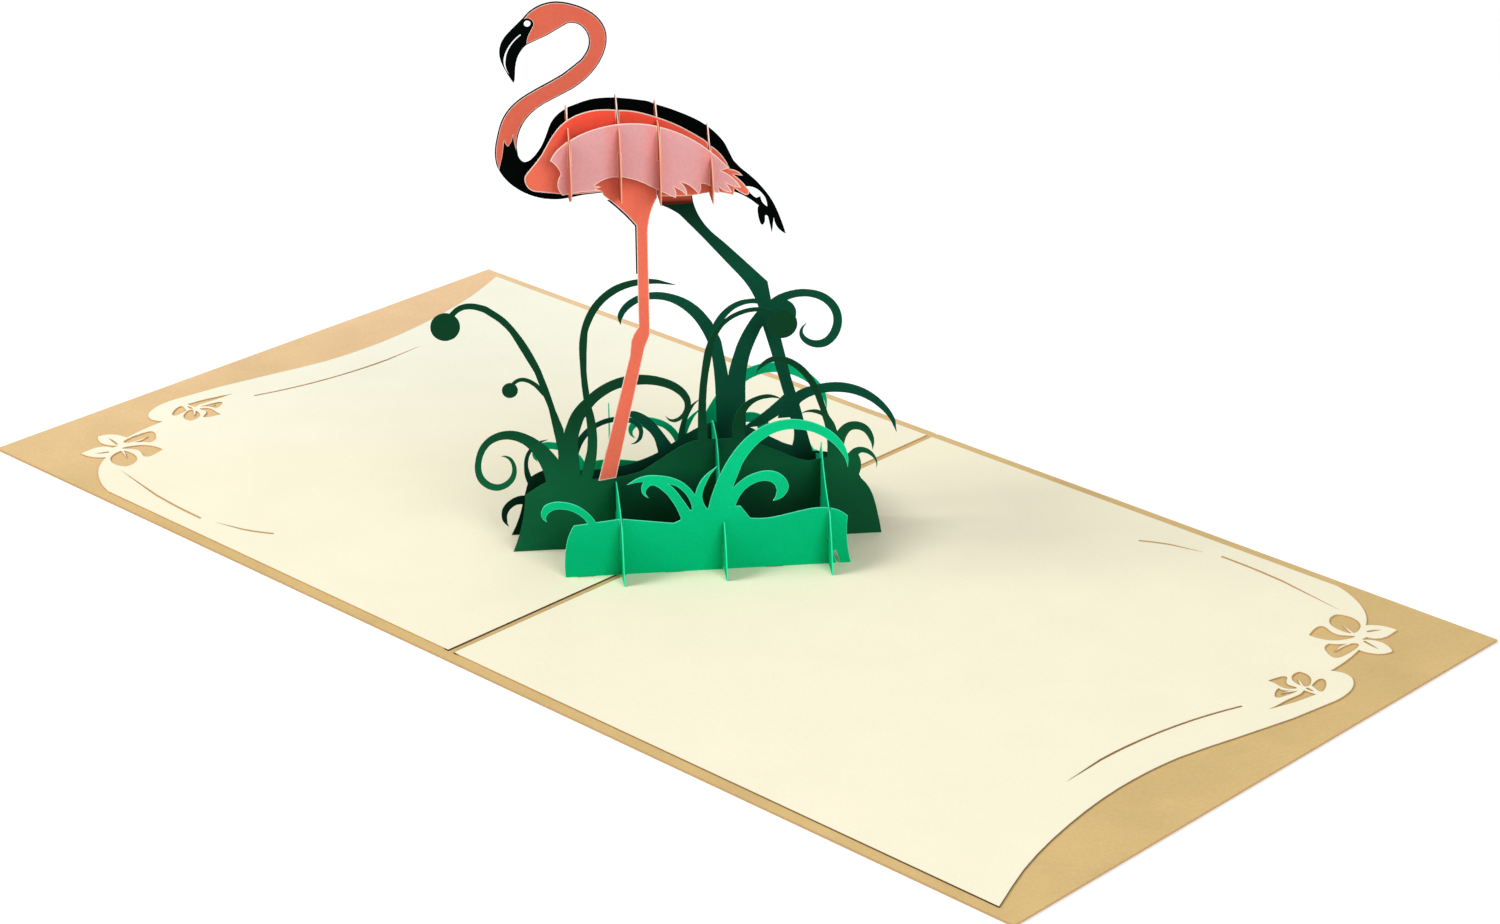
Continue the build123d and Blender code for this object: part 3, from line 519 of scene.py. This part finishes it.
def make_grass():
    """The light green sheets, brighter higher up, and their cross ribs."""
    light_green = (0.0005, 0.46, 0.185)
    lit_green = (0.003, 0.60, 0.26)
    mint = (0.10, 0.82, 0.48)
    rib_mint = (0.03, 0.85, 0.44)
    light = rising(low=0.006, high=0.026)
    sheet = paper("light_green_sheet", light_green, mint, BACK, tint=(light, lit_green))
    make_sheets(sheet, "light_green_paper", BACK, "front_grass", "rear_grass")
    rib = paper("light_green_rib", light_green, rib_mint, ALONG, rim_share=0.35)
    make_sheets(rib, "light_green_paper", ALONG, "left_grass_rib", "middle_grass_rib", "right_grass_rib")


def make_front_reeds():
    """The front dark green sheet, with the shade that falls on it behind the grass."""
    dark_green = (0.006, 0.115, 0.045)
    cut_green = (0.008, 0.10, 0.05)
    shaded = (0.005, 0.050, 0.020)
    sheet = paper(
        "front_dark_green_sheet", dark_green, cut_green, BACK, rim_share=0.2, laid=0.25,
        tint=(behind_grass, shaded))
    make_sheets(sheet, "dark_green_paper", BACK, "front_reeds")


def make_rear_reeds():
    """The rear dark green sheet with the second leg, darker at its foot and under the bird."""
    dark_green = (0.005, 0.078, 0.042)
    cut_green = (0.008, 0.09, 0.05)
    shaded = (0.003, 0.024, 0.012)
    shade = low_and_high(foot=0.010, middle=0.020, neck=0.058, top=0.076)
    sheet = paper(
        "rear_dark_green_sheet", dark_green, cut_green, BACK, rim_share=0.2, laid=0.25,
        tint=(shade, shaded))
    make_sheets(sheet, "dark_green_paper", BACK, "rear_reeds")


def make_coral_sheets(pale):
    """The neck patches, the near body with the standing leg and painted bounce light at its top, and the
    far body in painted shade.
    """
    neck_coral = (0.735, 0.146, 0.087)
    neck = paper("neck_sheet", neck_coral, pale, BACK)
    make_sheets(neck, "coral_paper", BACK, "near_neck_patch", "far_neck_patch")

    coral = (0.87, 0.176, 0.106)
    painted_bounce_coral = (1.0, 0.105, 0.058)
    # Painted light: the near body grows brighter and redder towards its top, where light bounces between
    # the coral sheets.
    light = rising(low=0.089, high=0.096)
    near_body = paper(
        "near_body_sheet", coral, pale, BACK, rim_share=1.0, rim_width=WIDE_RIM,
        tint=(light, painted_bounce_coral))
    make_sheets(near_body, "coral_paper", BACK, "near_body_slice")

    # Painted shade: the far body is a darker copy of the coral, darkest at the foot of its thigh under the
    # wing.
    dark_coral = (0.10, 0.018, 0.010)
    cut_coral = (0.45, 0.16, 0.10)
    far_coral = (0.60, 0.09, 0.045)
    above_thigh = rising(low=0.0749, high=0.0757)
    far_body = paper(
        "far_body_sheet", dark_coral, cut_coral, BACK, rim_share=0.2,
        tint=(above_thigh, far_coral))
    make_sheets(far_body, "coral_paper", BACK, "far_body_slice")


def make_wings_and_ribs(pale):
    """The pink wings, warmer beside the body's ribs with painted bounce light, and those ribs, darkened
    with painted shade and with cut edges paler behind the wing with painted light.
    """
    body_ribs = ("breast_rib", "shoulder_rib", "hip_rib", "tail_rib")
    pink = (0.79, 0.39, 0.395)
    painted_rib_bounce = (0.90, 0.27, 0.22)
    # Painted light: the pink turns warmer at the left side of each body rib, as coral light bounces off the
    # rib.
    glow = beside_ribs(body_ribs, reach=0.0035, strength=0.7)
    wing = paper("wing_sheet", pink, pale, BACK, rim_share=1.0, rim_width=WIDE_RIM, tint=(glow, painted_rib_bounce))
    make_sheets(wing, "pink_paper", BACK, "near_wing", "far_wing")

    # The rib faces are coral paper darkened with painted shade, which falls between the layers.
    rib_coral = (0.50, 0.10, 0.055)
    orange = (0.92, 0.42, 0.27)
    # Painted light: the cut edges turn from orange to pale behind the wing, where they catch light from
    # above.
    behind = rising(low=-0.0035, high=-0.0015, axis=BACK)
    rib = paper("body_rib_sheet", rib_coral, orange, ALONG, rim_share=0.0, cut_tint=(behind, pale))
    make_sheets(rib, "pink_paper", ALONG, *body_ribs)


def make_black_sheets():
    """The bird's middle silhouette and the thin layer behind its standing leg."""
    black = (0.0015, 0.003, 0.0025)
    cut_black = (0.006, 0.007, 0.007)
    sheet = paper("black_sheet", black, cut_black, BACK, rim_share=0.0, gloss=0.0)
    make_sheets(sheet, "black_paper", BACK, "bird_outline", "near_leg_backing")


def make_papers():
    """Every sheet of the card with its paper."""
    pale_cut = (0.97, 0.78, 0.68)
    make_cover()
    make_liners()
    make_grass()
    make_front_reeds()
    make_rear_reeds()
    make_coral_sheets(pale_cut)
    make_wings_and_ribs(pale_cut)
    make_black_sheets()


def seen_background(tree):
    """1 for rays from the camera, and in gloss or glass, and 0 for those that light the card."""
    light_path = tree.nodes.new("ShaderNodeLightPath")
    straight = light_path.outputs["Is Camera Ray"]
    seen = math_node(tree, "MAXIMUM", straight, light_path.outputs["Is Glossy Ray"])
    return math_node(tree, "MAXIMUM", seen, light_path.outputs["Is Transmission Ray"])


def make_floor():
    """White table that keeps the card's shadow."""
    mesh = bpy.data.meshes.new("floor")
    corners = [(x * TABLE_REACH, y * TABLE_REACH, 0) for x, y in ((-1, -1), (1, -1), (1, 1), (-1, 1))]
    mesh.from_pydata(corners, [], [(0, 1, 2, 3)])
    floor = add_object("floor", mesh)
    floor.location.z = -TABLE_DROP
    material = bpy.data.materials.new("white_table")
    tree, output = node_tree(material)
    diffuse = tree.nodes.new("ShaderNodeBsdfDiffuse")
    diffuse.inputs["Color"].default_value = (*TABLE_COLOUR, 1)
    reach = tree.nodes.new("ShaderNodeVectorMath")
    reach.operation = "LENGTH"
    tree.links.new(place(tree), reach.inputs[0])
    far = map_range(tree, reach.outputs["Value"], GLOW_START, GLOW_END, GLOW_NEAR, GLOW_FAR)
    glow = tree.nodes.new("ShaderNodeEmission")
    tree.links.new(math_node(tree, "MULTIPLY", seen_background(tree), far), glow.inputs["Strength"])
    both = tree.nodes.new("ShaderNodeAddShader")
    tree.links.new(diffuse.outputs[0], both.inputs[0])
    tree.links.new(glow.outputs[0], both.inputs[1])
    tree.links.new(both.outputs[0], output.inputs["Surface"])
    mesh.materials.append(material)


def area_light(name, location, target, size, power):
    """Square soft lamp that looks at a point."""
    lamp = bpy.data.lights.new(name, "AREA")
    lamp.size = size
    lamp.energy = power
    holder = add_object(name, lamp)
    holder.location = location
    holder.rotation_euler = (Vector(target) - Vector(location)).to_track_quat("-Z", "Y").to_euler()


def make_lights():
    """Soft key from the front left, a weaker fill from the right, a back light and a pale room."""
    card = (0, 0, 0)
    popup = (0, 0, 0.05)
    area_light("key", location=(-0.752, -0.896, 1.091), target=card, size=0.65, power=17.0)
    area_light("fill", location=(1.4, -0.4, 0.8), target=popup, size=0.9, power=14.1)
    area_light("back", location=(-0.5, 1.0, 1.2), target=popup, size=1.0, power=2.2)
    room = bpy.data.worlds.new("room")
    bpy.context.scene.world = room
    tree, output = node_tree(room, "ShaderNodeOutputWorld")
    background = tree.nodes.new("ShaderNodeBackground")
    background.inputs["Color"].default_value = (1, 1, 1, 1)
    strength = map_range(tree, seen_background(tree), 0, 1, ROOM_LIGHT, 1)
    tree.links.new(strength, background.inputs["Strength"])
    tree.links.new(background.outputs[0], output.inputs["Surface"])


def make_camera():
    """Camera at the photograph's place: a slight roll, no shift."""
    outward = Vector((
        math.sin(CAMERA_AZIMUTH) * math.cos(CAMERA_ELEVATION),
        -math.cos(CAMERA_AZIMUTH) * math.cos(CAMERA_ELEVATION),
        math.sin(CAMERA_ELEVATION),
    ))
    level = UP.cross(outward).normalized()
    upright = outward.cross(level)
    right = math.cos(CAMERA_ROLL) * level + math.sin(CAMERA_ROLL) * upright
    upward = -math.sin(CAMERA_ROLL) * level + math.cos(CAMERA_ROLL) * upright
    data = bpy.data.cameras.new("camera")
    data.sensor_width = SENSOR_WIDTH
    data.lens = SENSOR_WIDTH * FOCAL_PIXELS / PHOTO_WIDTH
    camera = add_object("camera", data)
    axes = Matrix((right, upward, outward)).transposed()
    camera.matrix_world = Matrix.Translation(LOOKED_AT + outward * CAMERA_DISTANCE) @ axes.to_4x4()
    bpy.context.scene.camera = camera


make_camera()
make_papers()
make_floor()
make_lights()
bpy.context.scene.view_settings.view_transform = "Standard"
